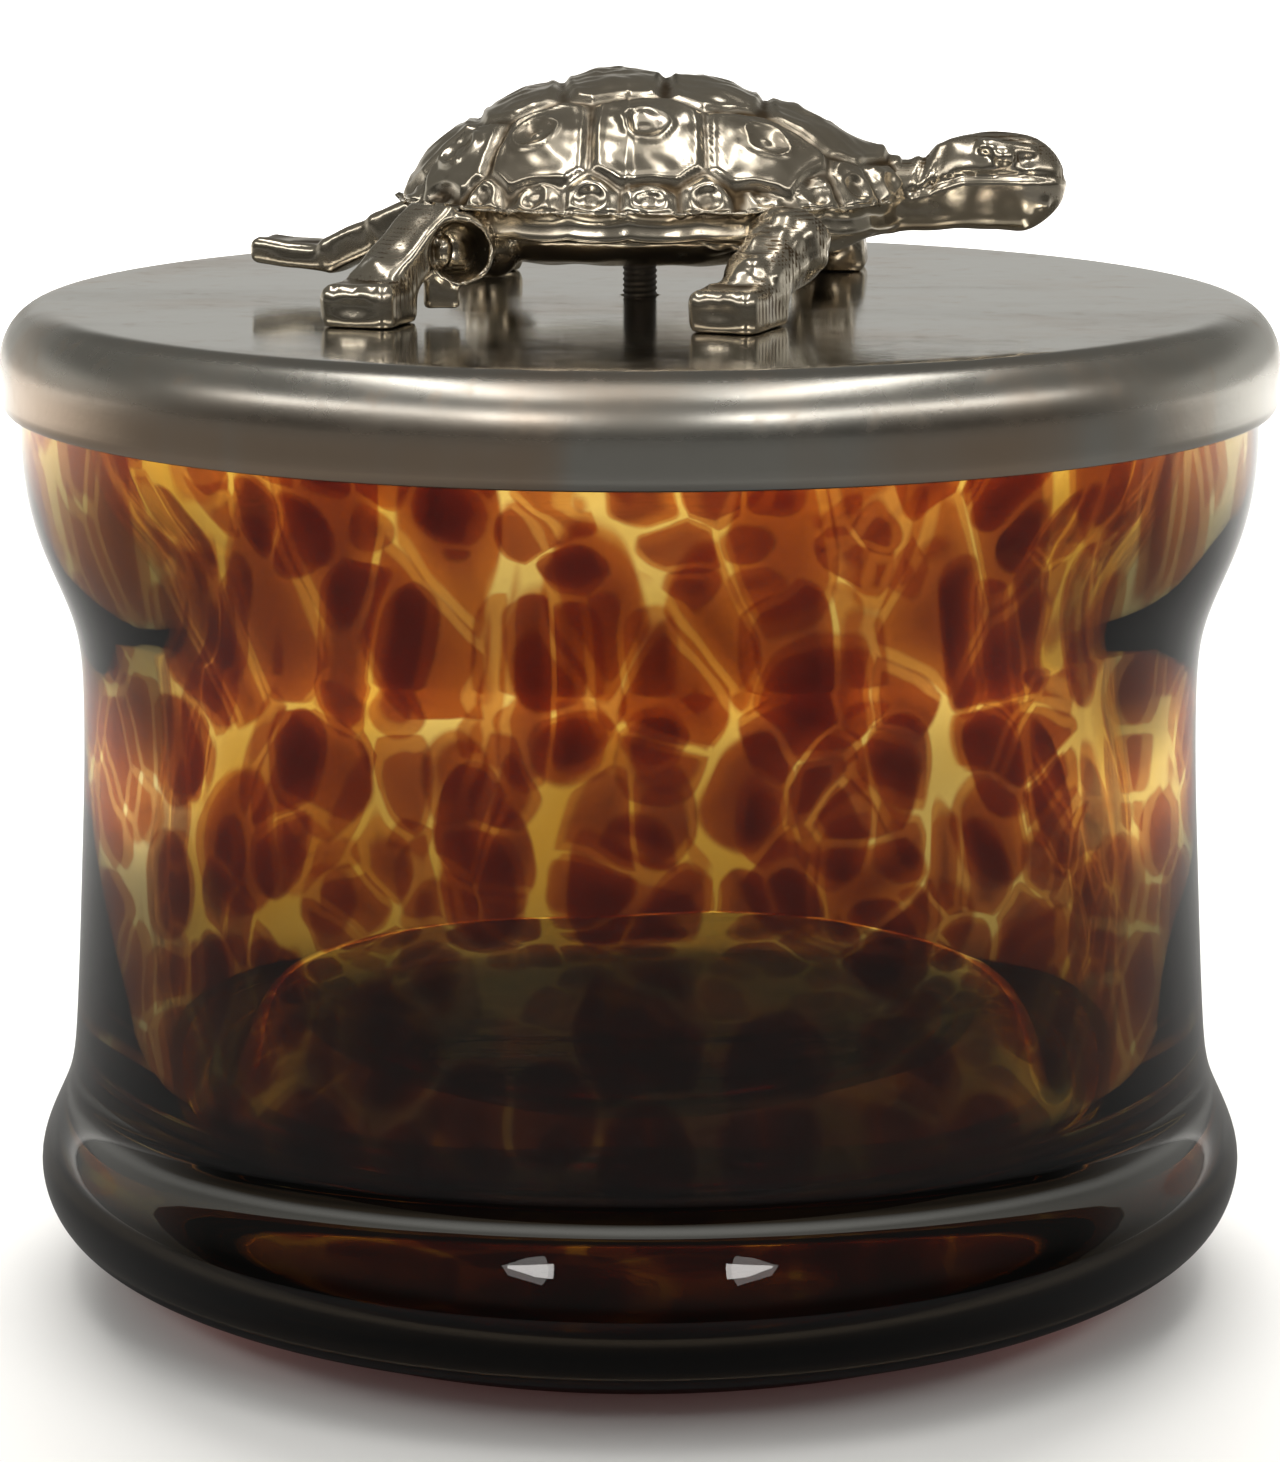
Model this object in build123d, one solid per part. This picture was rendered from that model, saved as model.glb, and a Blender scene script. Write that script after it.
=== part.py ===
from build123d import *

import os
from math import atan2, degrees, hypot

# Lidded vanity jar in cased tortoiseshell glass, with a silver-plated cap lid that
# carries a cast tortoise. Millimetres, +Z up. The origin is the centre of the base, on
# the plane that the jar stands on, and the tortoise looks along +X.

# ---- driving dimensions: jar ----
FOOT_RING_OUTER_R = 37.4        # the base rests on a flat ring
FOOT_RING_INNER_R = 30.0
KICK_UP = 1.2                   # height of the shallow hollow inside that ring
FOOT_R, FOOT_Z = 53.3, 10.5     # widest point of the rounded foot
WAIST_R, WAIST_Z = 48.65, 52.0  # narrowest point of the wall
NECK_R, NECK_Z = 53.4, 75.0     # where the flared neck turns straight
FLOOR_Z = 28.6                  # middle of the floor, which is pushed up into a dome
GUTTER_R, GUTTER_Z = 40.6, 16.8     # low ring between the dome and the wall
COLOUR_THICKNESS = 1.2          # the coloured glass that lines the clear glass
MOUTH_R = 47.8                  # inside radius at the rim
RIM_SHOULDER = 3.6              # rounding from the neck to the rim's flat top
RIM_INNER_ROUND = 0.6

# ---- driving dimensions: lid ----
LID_R = 55.0
LID_TOP_Z = 86.1
LID_SHEET = 0.8                 # thickness of the spun sheet
LID_SKIRT_Z = 77.4              # lower edge of the skirt
LID_EDGE_RUN = 4.5              # the rounded edge, measured inwards
LID_EDGE_DROP = 4.9             # and downwards
LIP_TUCK = 0.35                 # the skirt's lip is turned in by this much
LIP_HEIGHT = 1.0
STUD_HOLE_R = 1.7

# ---- driving dimensions: tortoise ----
SHELL_CENTRE_X = 1.2
SHELL_HALF_LENGTH = 21.5
SHELL_HALF_WIDTH = 16.5
SHELL_TOP_Z = 105.5
RIM_BAND_TOP_Z = 94.7           # the dome springs from here
RIM_BAND_LOW_Z = 92.1           # under edge of the shell, where the two castings meet
SHELL_WALL = 1.4
BELLY_Z = 89.3
BELLY_INSET = 1.7               # the belly is this much smaller than the shell, all round
CASTING_GAP = 0.1               # solder gap between the limbs and the shell
BOSS_R = 3.2
BOSS_TOP_Z = 95.2
FOOT_HEIGHT = 3.5
FOOT_ROUND = 0.7

# ---- driving dimensions: fixing ----
STUD_R = 1.5
STUD_TOP_Z = 94.2
STUD_CHAMFER = 0.3
WASHER_R, WASHER_THICKNESS = 4.5, 0.8
WASHER_PLAY = 0.1               # between the stud and the washer's hole
NUT_ACROSS_FLATS, NUT_HEIGHT = 5.5, 2.4
NUT_CORNER_R = 3.05             # the hexagon's corners are turned down to this
STUD_TAIL = 1.5                 # the stud stands out of the nut by this much

RIM_Z = LID_TOP_Z - LID_SHEET   # the lid's underside lies on the glass rim
ROOM = 100                      # larger than the tortoise in any direction
UPWARD = (Align.CENTER, Align.CENTER, Align.MIN)
DOWNWARD = (Align.CENTER, Align.CENTER, Align.MAX)


def revolved(outline):
    """Solid of revolution about Z from a closed outline of edges in the XZ plane."""
    return revolve(make_face(outline), Axis.Z)


def at(r, z):
    """A point of an outline, by its radius and its height."""
    return (r, 0, z)


# ---- jar ----
OUTER_WALL = [
    at(FOOT_RING_OUTER_R, 0),
    at(47.0, 3.5),
    at(51.8, 6.2),
    at(FOOT_R, FOOT_Z),
    at(50.9, 17.3),
    at(49.95, 23.0),
    at(49.2, 36.0),
    at(WAIST_R, WAIST_Z),
    at(49.2, 58.3),
    at(52.05, 66.0),
    at(NECK_R, NECK_Z),
]
INNER_FLOOR = [
    at(0, FLOOR_Z),
    at(22.0, 27.2),
    at(34.5, 22.6),
    at(GUTTER_R, GUTTER_Z),
]
INNER_WALL = [
    at(42.9, 20.0),
    at(42.9, 40.0),
    at(43.2, 60.6),
    at(45.65, 66.0),
    at(47.45, 71.5),
    at(MOUTH_R, 77.3),
]


def inner_outline(offset):
    """Open lines of the floor, `offset` below its inner face, and the wall, `offset` outside its own."""
    floor_points = [at(p[0], p[2] - offset) for p in INNER_FLOOR]
    wall_points = [at(p[0] + offset, p[2]) for p in INNER_WALL]
    floor = Spline(*floor_points, wall_points[0], tangents=[at(1, 0), at(0, 1)])
    wall = Spline(*wall_points, tangents=[at(0, 1), at(0, 1)])
    return floor, wall


def jar_casing():
    """Thick clear glass, from the base to the rim, outside the coloured glass."""
    ring = Line(at(FOOT_RING_OUTER_R, 0), at(FOOT_RING_INNER_R, 0))
    kick = ThreePointArc(
        ring @ 1,
        at(FOOT_RING_INNER_R / 2, KICK_UP * 3 / 4),
        at(0, KICK_UP),
    )
    axis_line = Line(kick @ 1, at(0, FLOOR_Z - COLOUR_THICKNESS))
    floor, wall = inner_outline(COLOUR_THICKNESS)
    lining_side = Line(wall @ 1, at(MOUTH_R + COLOUR_THICKNESS, RIM_Z))
    rim = Line(lining_side @ 1, at(NECK_R - RIM_SHOULDER, RIM_Z))
    shoulder = TangentArc(rim @ 1, at(NECK_R, RIM_Z - RIM_SHOULDER), tangent=at(1, 0))
    neck = Line(shoulder @ 1, at(NECK_R, NECK_Z))
    outside = Spline(*OUTER_WALL, tangents=[at(1, 0.2), at(0, 1)])
    return revolved([outside, neck, shoulder, rim, lining_side, wall, floor, axis_line, kick, ring])


def tortoiseshell_layer():
    """Amber and brown glass fused to the inside of the clear glass, wall and floor."""
    out_floor, out_wall = inner_outline(COLOUR_THICKNESS)
    in_floor, in_wall = inner_outline(0)
    axis_line = Line(out_floor @ 0, in_floor @ 0)
    in_side = Line(in_wall @ 1, at(MOUTH_R, RIM_Z - RIM_INNER_ROUND))
    rim_round = TangentArc(in_side @ 1, at(MOUTH_R + RIM_INNER_ROUND, RIM_Z), tangent=at(0, 1))
    rim = Line(rim_round @ 1, at(MOUTH_R + COLOUR_THICKNESS, RIM_Z))
    out_side = Line(rim @ 1, out_wall @ 1)
    return revolved([axis_line, in_floor, in_wall, in_side, rim_round, rim, out_side, out_wall, out_floor])


# ---- lid ----
def lid_skin(sheet):
    """Corner points of one side of the lid's sheet, `sheet` inside the outer side."""
    top_z = LID_TOP_Z - sheet
    edge_x = LID_R - LID_EDGE_RUN
    return at(0, top_z), at(edge_x, top_z), at(LID_R - sheet, LID_TOP_Z - LID_EDGE_DROP)


def lid_cap():
    """Spun cap: flat top, rounded edge, short skirt with its lip turned in, stud hole in the middle."""
    top_mid, top_edge, side_top = lid_skin(0)
    in_mid, in_edge, in_side_top = lid_skin(LID_SHEET)
    edges = []
    for mid, edge, side in ((top_mid, top_edge, side_top), (in_mid, in_edge, in_side_top)):
        edges.append(Line(mid, edge))
        edges.append(Spline(edge, side, tangents=[at(1, 0), at(0, -1)]))
        lip_top = at(side[0], LID_SKIRT_Z + LIP_HEIGHT)
        edges.append(Line(side, lip_top))
        edges.append(Line(lip_top, at(side[0] - LIP_TUCK, LID_SKIRT_Z)))
    edges.append(Line(top_mid, in_mid))
    edges.append(Line(edges[3] @ 1, edges[7] @ 1))
    hole = Pos(0, 0, LID_TOP_Z) * Cylinder(STUD_HOLE_R, 2 * LID_SHEET, align=DOWNWARD)
    return revolved(edges) - hole


# ---- tortoise ----
def ellipsoid(centre, half_sizes):
    """Ellipsoid with its axes along X, Y and Z."""
    return Pos(*centre) * scale(Sphere(1), by=half_sizes)


def shell_solid(inset):
    """Dome on its upright edge band, filled in, `inset` inside the shell's outer face."""
    half_length = SHELL_HALF_LENGTH - inset
    half_width = SHELL_HALF_WIDTH - inset
    dome_height = SHELL_TOP_Z - RIM_BAND_TOP_Z - inset
    dome = ellipsoid((SHELL_CENTRE_X, 0, RIM_BAND_TOP_Z), (half_length, half_width, dome_height))
    dome &= Pos(0, 0, RIM_BAND_TOP_Z) * Box(ROOM, ROOM, ROOM, align=UPWARD)
    return dome + edge_band(half_length, half_width, RIM_BAND_LOW_Z)


def edge_band(half_length, half_width, low_z):
    """Upright band of the shell's plan shape, from `low_z` up to the foot of the dome."""
    band = extrude(Ellipse(half_length, half_width), RIM_BAND_TOP_Z - low_z)
    return Pos(SHELL_CENTRE_X, 0, low_z) * band


# Neck and head: distance along their axis from the neck's root, and radius there.
NECK_ROOT, NOSE_TIP = (16.5, 94.3), (36.8, 95.9)
NECK_R_IN_SHELL = 2.6
NECK_STRAIGHT = 4.5             # the neck is straight over this length from its root
HEAD_OUTLINE = [(6.5, 2.7), (9.5, 3.1), (13.5, 4.0), (17.0, 3.9), (19.4, 2.9)]
NECK_OPENING_R = 2.95           # hole in the shell that the neck comes out of
NECK_OPENING_Z = 94.5
NECK_WEB_LENGTH, NECK_WEB_WIDTH = 3.0, 3.6      # web that ties the neck's root to the belly

TAIL_ROUTE = [(-15.0, 0, 90.8), (-20.8, 1.2, 90.9), (-26.8, 4.0, 88.5), (-33.6, 7.0, 89.4)]
TAIL_RADII = [1.4, 1.3, 1.15, 1.0]

# Each leg: hip and knee, middle of the foot on the lid, and the foot's length and width.
LEGS = {
    "near_front": ((13.5, -9.5, 90.6), (14.2, -18.6, 91.6), (8.2, -25.6), (7.2, 6.6)),
    "far_front": ((13.5, 9.5, 90.6), (17.0, 17.2, 91.6), (17.2, 22.0), (6.8, 6.4)),
    "near_rear": ((-11.5, -9.5, 90.6), (-14.6, -17.0, 91.4), (-22.4, -22.6), (7.4, 6.0)),
    "far_rear": ((-11.5, 9.5, 90.6), (-13.4, 17.0, 91.4), (-14.4, 22.2), (7.0, 6.2)),
}
HIP_R, KNEE_R, SHIN_R, ANKLE_R = 1.4, 2.8, 2.75, 2.5


def tapered(start, end, start_r, end_r):
    """Round tapered bar between two points."""
    reach = Vector(*end) - Vector(*start)
    cone = Cone(start_r, end_r, reach.length, align=UPWARD)
    return Plane(origin=start, z_dir=reach) * cone


def foot_block(middle, size, outward):
    """Flat block of a foot, standing on the lid and turned to point outward."""
    length, width = size
    block = Box(length, width, FOOT_HEIGHT, align=UPWARD)
    block = fillet(block.edges().filter_by(Axis.Z) + block.edges().group_by(Axis.Z)[-1], FOOT_ROUND)
    return Pos(middle[0], middle[1], LID_TOP_Z) * Rot(0, 0, outward) * block


def leg(hip, knee, foot_middle, foot_size):
    """Thigh, shin and foot of one leg, as one solid."""
    ankle = (foot_middle[0], foot_middle[1], LID_TOP_Z + FOOT_HEIGHT / 2)
    outward = degrees(atan2(ankle[1] - knee[1], ankle[0] - knee[0]))
    limb = tapered(hip, knee, HIP_R, KNEE_R) + Pos(*knee) * Sphere(KNEE_R)
    limb += tapered(knee, ankle, SHIN_R, ANKLE_R)
    limb &= Pos(0, 0, LID_TOP_Z) * Box(ROOM, ROOM, ROOM, align=UPWARD)
    return limb + foot_block(foot_middle, foot_size, outward)


def neck_and_head():
    """Neck and head as one round form about an axis that rises gently to the nose."""
    rise = NOSE_TIP[1] - NECK_ROOT[1]
    reach = hypot(NOSE_TIP[0] - NECK_ROOT[0], rise)
    neck_start = (0, 0, NECK_R_IN_SHELL)
    straight_end = (NECK_STRAIGHT, 0, NECK_R_IN_SHELL)
    skin_points = [straight_end] + [(along, 0, r) for along, r in HEAD_OUTLINE] + [(reach, 0, 0)]
    skin = Spline(*skin_points, tangents=[(1, 0, 0), (0, 0, -1)])
    root = Line((0, 0, 0), neck_start)
    straight = Line(neck_start, straight_end)
    axis_line = Line(skin @ 1, (0, 0, 0))
    form = revolve(make_face([root, straight, skin, axis_line]), Axis.X)
    return Pos(NECK_ROOT[0], 0, NECK_ROOT[1]) * Rot(0, -degrees(atan2(rise, reach)), 0) * form


def neck_opening():
    """Round hole through the front of the shell, along X, for the neck."""
    bar = Cylinder(NECK_OPENING_R, NOSE_TIP[0] - NECK_ROOT[0], align=UPWARD)
    return Plane(origin=(NECK_ROOT[0], 0, NECK_OPENING_Z), z_dir=(1, 0, 0)) * bar


def tortoise_carapace():
    """Hollow cast shell, open below, with a hole in front for the neck."""
    hollow = shell_solid(SHELL_WALL)
    open_below = edge_band(SHELL_HALF_LENGTH - SHELL_WALL, SHELL_HALF_WIDTH - SHELL_WALL, BELLY_Z)
    return shell_solid(0) - hollow - open_below - neck_opening()


def tortoise_body():
    """Belly, legs, neck, head and tail in one casting, with a boss for the stud."""
    half_length = SHELL_HALF_LENGTH - BELLY_INSET
    half_width = SHELL_HALF_WIDTH - BELLY_INSET
    depth = RIM_BAND_LOW_Z - BELLY_Z
    belly = ellipsoid((SHELL_CENTRE_X, 0, RIM_BAND_LOW_Z), (half_length, half_width, depth))
    belly &= Pos(0, 0, RIM_BAND_LOW_Z) * Box(ROOM, ROOM, ROOM, align=DOWNWARD)
    limbs = Part()
    for hip, knee, foot_middle, foot_size in LEGS.values():
        limbs += leg(hip, knee, foot_middle, foot_size)
    for start, end, start_r, end_r in zip(TAIL_ROUTE, TAIL_ROUTE[1:], TAIL_RADII, TAIL_RADII[1:]):
        limbs += tapered(start, end, start_r, end_r) + Pos(*end) * Sphere(end_r)
    limbs -= shell_solid(-CASTING_GAP)
    boss = Cylinder(BOSS_R, BOSS_TOP_Z - RIM_BAND_LOW_Z, align=UPWARD)
    neck_web = Box(NECK_WEB_LENGTH, NECK_WEB_WIDTH, NECK_ROOT[1] - RIM_BAND_LOW_Z, align=UPWARD)
    body = belly + limbs + neck_and_head()
    body += Pos(0, 0, RIM_BAND_LOW_Z) * boss
    body += Pos(NECK_ROOT[0] + NECK_WEB_LENGTH / 2, 0, RIM_BAND_LOW_Z) * neck_web
    stud_hole = Cylinder(STUD_R, STUD_TOP_Z - LID_TOP_Z, align=DOWNWARD)
    return body - Pos(0, 0, STUD_TOP_Z) * stud_hole


# ---- fixing ----
WASHER_LOW_Z = RIM_Z - WASHER_THICKNESS
NUT_LOW_Z = WASHER_LOW_Z - NUT_HEIGHT
STUD_LOW_Z = NUT_LOW_Z - STUD_TAIL


def fixing_stud():
    """Plain stud from the tortoise's boss down through the lid and the nut."""
    stud = Cylinder(STUD_R, STUD_TOP_Z - STUD_LOW_Z, align=UPWARD)
    stud = chamfer(stud.edges().filter_by(GeomType.CIRCLE).group_by(Axis.Z)[0], STUD_CHAMFER)
    return Pos(0, 0, STUD_LOW_Z) * stud


def lid_washer():
    """Flat washer under the lid."""
    ring = Circle(WASHER_R) - Circle(STUD_R + WASHER_PLAY)
    return Pos(0, 0, WASHER_LOW_Z) * extrude(ring, WASHER_THICKNESS)


def retaining_nut():
    """Hexagon nut on the stud, hard against the washer."""
    hexagon = RegularPolygon(NUT_ACROSS_FLATS / 2, 6, major_radius=False) - Circle(STUD_R)
    nut = extrude(hexagon, NUT_HEIGHT) & Cylinder(NUT_CORNER_R, NUT_HEIGHT, align=UPWARD)
    return Pos(0, 0, NUT_LOW_Z) * nut


PARTS = [jar_casing, tortoiseshell_layer, lid_cap, tortoise_carapace, tortoise_body,
         fixing_stud, lid_washer, retaining_nut]

os.makedirs("parts", exist_ok=True)
for make in PARTS:
    export_step(make(), f"parts/{make.__name__}.step")
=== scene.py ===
import math

import bpy
import numpy as np
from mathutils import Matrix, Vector


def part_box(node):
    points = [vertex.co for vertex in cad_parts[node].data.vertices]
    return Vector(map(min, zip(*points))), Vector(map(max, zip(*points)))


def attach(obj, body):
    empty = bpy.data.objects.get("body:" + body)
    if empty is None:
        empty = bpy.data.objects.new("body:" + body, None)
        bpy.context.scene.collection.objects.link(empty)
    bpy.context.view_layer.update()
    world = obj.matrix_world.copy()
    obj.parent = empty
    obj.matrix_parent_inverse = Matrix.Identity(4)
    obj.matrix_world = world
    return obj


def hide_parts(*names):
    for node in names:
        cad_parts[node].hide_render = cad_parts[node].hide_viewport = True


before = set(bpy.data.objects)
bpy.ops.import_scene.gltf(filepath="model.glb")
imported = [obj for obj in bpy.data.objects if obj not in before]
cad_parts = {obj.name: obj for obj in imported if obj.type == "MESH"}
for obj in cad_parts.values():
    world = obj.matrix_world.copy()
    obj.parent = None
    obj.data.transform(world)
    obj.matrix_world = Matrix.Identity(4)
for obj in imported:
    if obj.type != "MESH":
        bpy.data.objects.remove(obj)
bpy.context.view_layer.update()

MM = 0.001
scene = bpy.context.scene

# ---- sizes, from the frame
lid_low, lid_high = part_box("lid_cap")
LID_R = lid_high.x
LID_TOP = lid_high.z
LID_SKIRT = lid_low.z
LID_SHEET = 0.8 * MM
LID_EDGE_RUN, LID_EDGE_DROP = 4.5 * MM, 4.9 * MM        # the rounded edge, inwards and downwards
LIP_HEIGHT, LIP_TUCK = 1.0 * MM, 0.35 * MM
STUD_HOLE_R = 1.7 * MM
jar_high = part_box("jar_casing")[1]
RIM_Z = jar_high.z
COLOUR_THICKNESS = 1.2 * MM
MOUTH_R = 47.8 * MM
NECK_R = jar_high.x
RIM_SHOULDER = 3.6 * MM
RIM_INNER_ROUND = 0.6 * MM
FOOT_RING_OUTER_R, FOOT_RING_INNER_R = 37.4 * MM, 30.0 * MM
KICK_UP = 1.2 * MM              # height of the shallow hollow under the base
AROUND = 256                    # facets round the jar and the lid


# ---- curves and meshes
def smooth_curve(points, start_way, end_way, steps):
    """Points of a C2 cubic spline through `points`, leaving and arriving along the two given ways."""
    p = np.array(points, float)
    spans = np.linalg.norm(np.diff(p, axis=0), axis=1)
    n = len(p)
    rows, sides = np.zeros((n, n)), np.zeros_like(p)
    rows[0, 0] = rows[-1, -1] = 1
    sides[0] = np.array(start_way, float) / np.linalg.norm(start_way)
    sides[-1] = np.array(end_way, float) / np.linalg.norm(end_way)
    for i in range(1, n - 1):
        before, after = spans[i - 1], spans[i]
        rows[i, i - 1:i + 2] = after, 2 * (before + after), before
        sides[i] = 3 * (after * (p[i] - p[i - 1]) / before + before * (p[i + 1] - p[i]) / after)
    slopes = np.linalg.solve(rows, sides)
    out = []
    for i, span in enumerate(spans):
        for t in np.arange(steps) / steps:
            out.append((2 * t**3 - 3 * t**2 + 1) * p[i] + (t**3 - 2 * t**2 + t) * span * slopes[i]
                       + (3 * t**2 - 2 * t**3) * p[i + 1] + (t**3 - t**2) * span * slopes[i + 1])
    return out + [p[-1]]


def arc(centre, radius, start, end, steps):
    """Points of an arc, angles in degrees, as (r, z)."""
    turns = np.radians(np.linspace(start, end, steps))
    return [np.array((centre[0] + radius * math.cos(a), centre[1] + radius * math.sin(a))) for a in turns]


def straight(start, end, steps):
    return [np.array(start) + (np.array(end) - np.array(start)) * t for t in np.linspace(0, 1, steps)]


def joined(*runs):
    """Runs of points as one run, without the doubled ends."""
    out = []
    for run in runs:
        for p in run:
            if not out or np.linalg.norm(p - out[-1]) > 1e-7:
                out.append(p)
    return out


def mesh_piece(name, vertices, faces, face_slots=None, recess=None):
    mesh = bpy.data.meshes.new(name)
    mesh.from_pydata([tuple(map(float, v)) for v in vertices], [], faces)
    mesh.validate()
    if recess is not None:
        values = mesh.attributes.new("recess", "FLOAT", "POINT").data
        values.foreach_set("value", recess.astype(np.float32))
    if face_slots is not None:
        mesh.polygons.foreach_set("material_index", face_slots)
    mesh.polygons.foreach_set("use_smooth", [True] * len(mesh.polygons))
    piece = bpy.data.objects.new(name, mesh)
    scene.collection.objects.link(piece)
    return piece


def spun(name, outline, slots=None, closed=True, around=AROUND, wave=None):
    """Surface of revolution from an outline of (r, z) points that runs with the solid on its left.

    Points on the axis become a pole. `slots` gives a material slot for each stretch between points.
    `wave(angle, r, z)` may return a small change of radius.
    """
    vertices, rings = [], []
    for r, z in outline:
        if r < 1e-7:
            rings.append([len(vertices)])
            vertices.append((0, 0, z))
            continue
        rings.append(list(range(len(vertices), len(vertices) + around)))
        for k in range(around):
            a = 2 * math.pi * k / around
            grown = r + (wave(a, r, z) if wave else 0)
            vertices.append((grown * math.cos(a), grown * math.sin(a), z))
    faces, face_slots = [], []
    pairs = list(zip(range(len(rings)), range(1, len(rings))))
    if closed:
        pairs.append((len(rings) - 1, 0))
    for which, (i, j) in enumerate(pairs):
        a, b = rings[i], rings[j]
        if len(a) == 1 and len(b) == 1:
            continue
        for k in range(around):
            n = (k + 1) % around
            if len(a) == 1:
                face = (a[0], b[n], b[k])
            elif len(b) == 1:
                face = (a[k], a[n], b[0])
            else:
                face = (a[k], a[n], b[n], b[k])
            faces.append(face)
            face_slots.append(slots[which] if slots else 0)
    return mesh_piece(name, vertices, faces, face_slots)


# ---- node helpers
def new_material(name):
    material = bpy.data.materials.new(name)
    material.use_nodes = True
    material.node_tree.nodes.clear()
    return material, material.node_tree


def feed(tree, socket, value):
    """Gives an input its value: a number, a colour, a vector, another node, or one of its outputs."""
    if isinstance(value, bpy.types.Node):
        value = value.outputs[0]
    if isinstance(value, bpy.types.NodeSocket):
        tree.links.new(value, socket)
    else:
        socket.default_value = (*value, 1) if socket.type == "RGBA" else value


def add(tree, kind, settings=None, **inputs):
    """New shader node of a kind.

    In an input's name an underscore stands for a space, and i0, i1... stand for its number.
    """
    n = tree.nodes.new("ShaderNode" + kind)
    for key, value in (settings or {}).items():
        setattr(n, key, value)
    for key, value in inputs.items():
        name = key.replace("_", " ")
        socket = n.inputs[int(name[1:])] if name[0] == "i" and name[1:].isdigit() else n.inputs[name]
        feed(tree, socket, value)
    return n


def maths(tree, operation, a, b):
    return add(tree, "Math", {"operation": operation}, i0=a, i1=b)


def ramp(tree, value, low, high, to_low=0.0, to_high=1.0, smooth=True):
    """Value mapped from low..high to to_low..to_high, clamped."""
    kind = "SMOOTHSTEP" if smooth else "LINEAR"
    return add(tree, "MapRange", {"interpolation_type": kind, "clamp": True}, Value=value,
               From_Min=low, From_Max=high, To_Min=to_low, To_Max=to_high)


def blend_colour(tree, share, a, b):
    n = add(tree, "Mix", {"data_type": "RGBA"}, i0=share, i6=a, i7=b)
    return n.outputs[2]


def output(tree, surface):
    add(tree, "OutputMaterial", Surface=surface)


def coordinates(tree):
    return add(tree, "TexCoord").outputs["Object"]


def at_height(tree, place):
    return add(tree, "SeparateXYZ", Vector=place).outputs["Z"]


# ---- glass
GLASS_IOR = 1.5
WALL_TINT = (0.93, 0.93, 0.90)
BASE_PAINTED_SHADE = (0.005, 0.003, 0.0015)      # painted shade: the thick base is tinted nearly black
# painted shade for what is seen through the jar's floor
UNDER_FLOOR_PAINTED_SHADE = (0.42, 0.27, 0.09)
FOOT_EDGE_PAINTED_GLINT = (0.20, 0.035, 0.02)    # painted red-brown glint: the thin glass at the very bottom is tinted red-brown, less dark than the base
FOOT_EDGE_FADE = (1.0 * MM, 4.5 * MM)   # heights over which each tint gives way to the next
# heights over which the base's painted shade gives way to the wall's tint
BASE_SHADE_FADE = (12.5 * MM, 23.0 * MM)
FLOOR_SHADE_FADE = (40.5 * MM, 43.5 * MM)        # radii over which the painted shade under the floor gives way to clear, at the wall


def let_lamps_through(tree, shader, tint):
    """Rays from lamps go straight through the glass, tinted, so that light reaches what it holds."""
    path = add(tree, "LightPath")
    clear = add(tree, "BsdfTransparent", Color=tint)
    to_lamp = path.outputs["Is Shadow Ray"]
    return add(tree, "MixShader", i0=to_lamp, i1=shader, i2=clear)


def clear_glass():
    """Smoky clear glass, fire polished, with the faintest ripple. Downwards into the base it takes
    painted shade, nearly black, with a painted red-brown glint at the very bottom.
    """
    material, tree = new_material("smoky_clear_glass_painted_dark_base")
    place = coordinates(tree)
    height = at_height(tree, place)
    # painted shade: the base is tinted nearly black, with a painted red-brown glint at its bottom edge
    low = blend_colour(tree, ramp(tree, height, *FOOT_EDGE_FADE), FOOT_EDGE_PAINTED_GLINT, BASE_PAINTED_SHADE)
    tint = blend_colour(tree, ramp(tree, height, *BASE_SHADE_FADE), low, WALL_TINT)
    ripple = add(tree, "TexNoise", Vector=place, Scale=60.0, Detail=2.0)
    bump = add(tree, "Bump", Strength=0.02, Distance=0.001, Height=ripple)
    glass = add(tree, "BsdfPrincipled", Base_Color=tint, Roughness=0.0,
                IOR=GLASS_IOR, Transmission_Weight=1.0, Normal=bump)
    output(tree, let_lamps_through(tree, glass, tint))
    return material


def open_face(name):
    """Where the two glasses are fused: nothing bends there. Under the floor it takes painted shade, dark
    like the base.
    """
    material, tree = new_material(name)
    place = add(tree, "SeparateXYZ", Vector=coordinates(tree))
    across = add(tree, "CombineXYZ", X=place.outputs["X"], Y=place.outputs["Y"])
    radius = add(tree, "VectorMath", {"operation": "LENGTH"}, i0=across)
    at_wall = ramp(tree, radius.outputs["Value"], *FLOOR_SHADE_FADE)
    # painted shade under the floor, clear towards the wall
    depth = blend_colour(tree, at_wall, UNDER_FLOOR_PAINTED_SHADE, (1.0, 1.0, 1.0))
    clear = add(tree, "BsdfTransparent", Color=depth)
    output(tree, clear)
    return material


CELL = 1 / (7.6 * MM)           # cells per metre
NECK_STARTS = 60.0 * MM         # above this the cells were drawn out as the neck was flared
WALL_STRETCH, NECK_STRETCH = 0.80, 0.42     # cells are taller than wide by one over this
PALE_AMBER, DEEP_AMBER = (0.97, 0.80, 0.40), (0.90, 0.62, 0.17)
CELL_RIMS = (0.39, 0.090, 0.016), (0.58, 0.190, 0.034)      # each cell lies between the two
CELL_MIDDLES = (0.22, 0.036, 0.008), (0.33, 0.074, 0.014)


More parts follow.
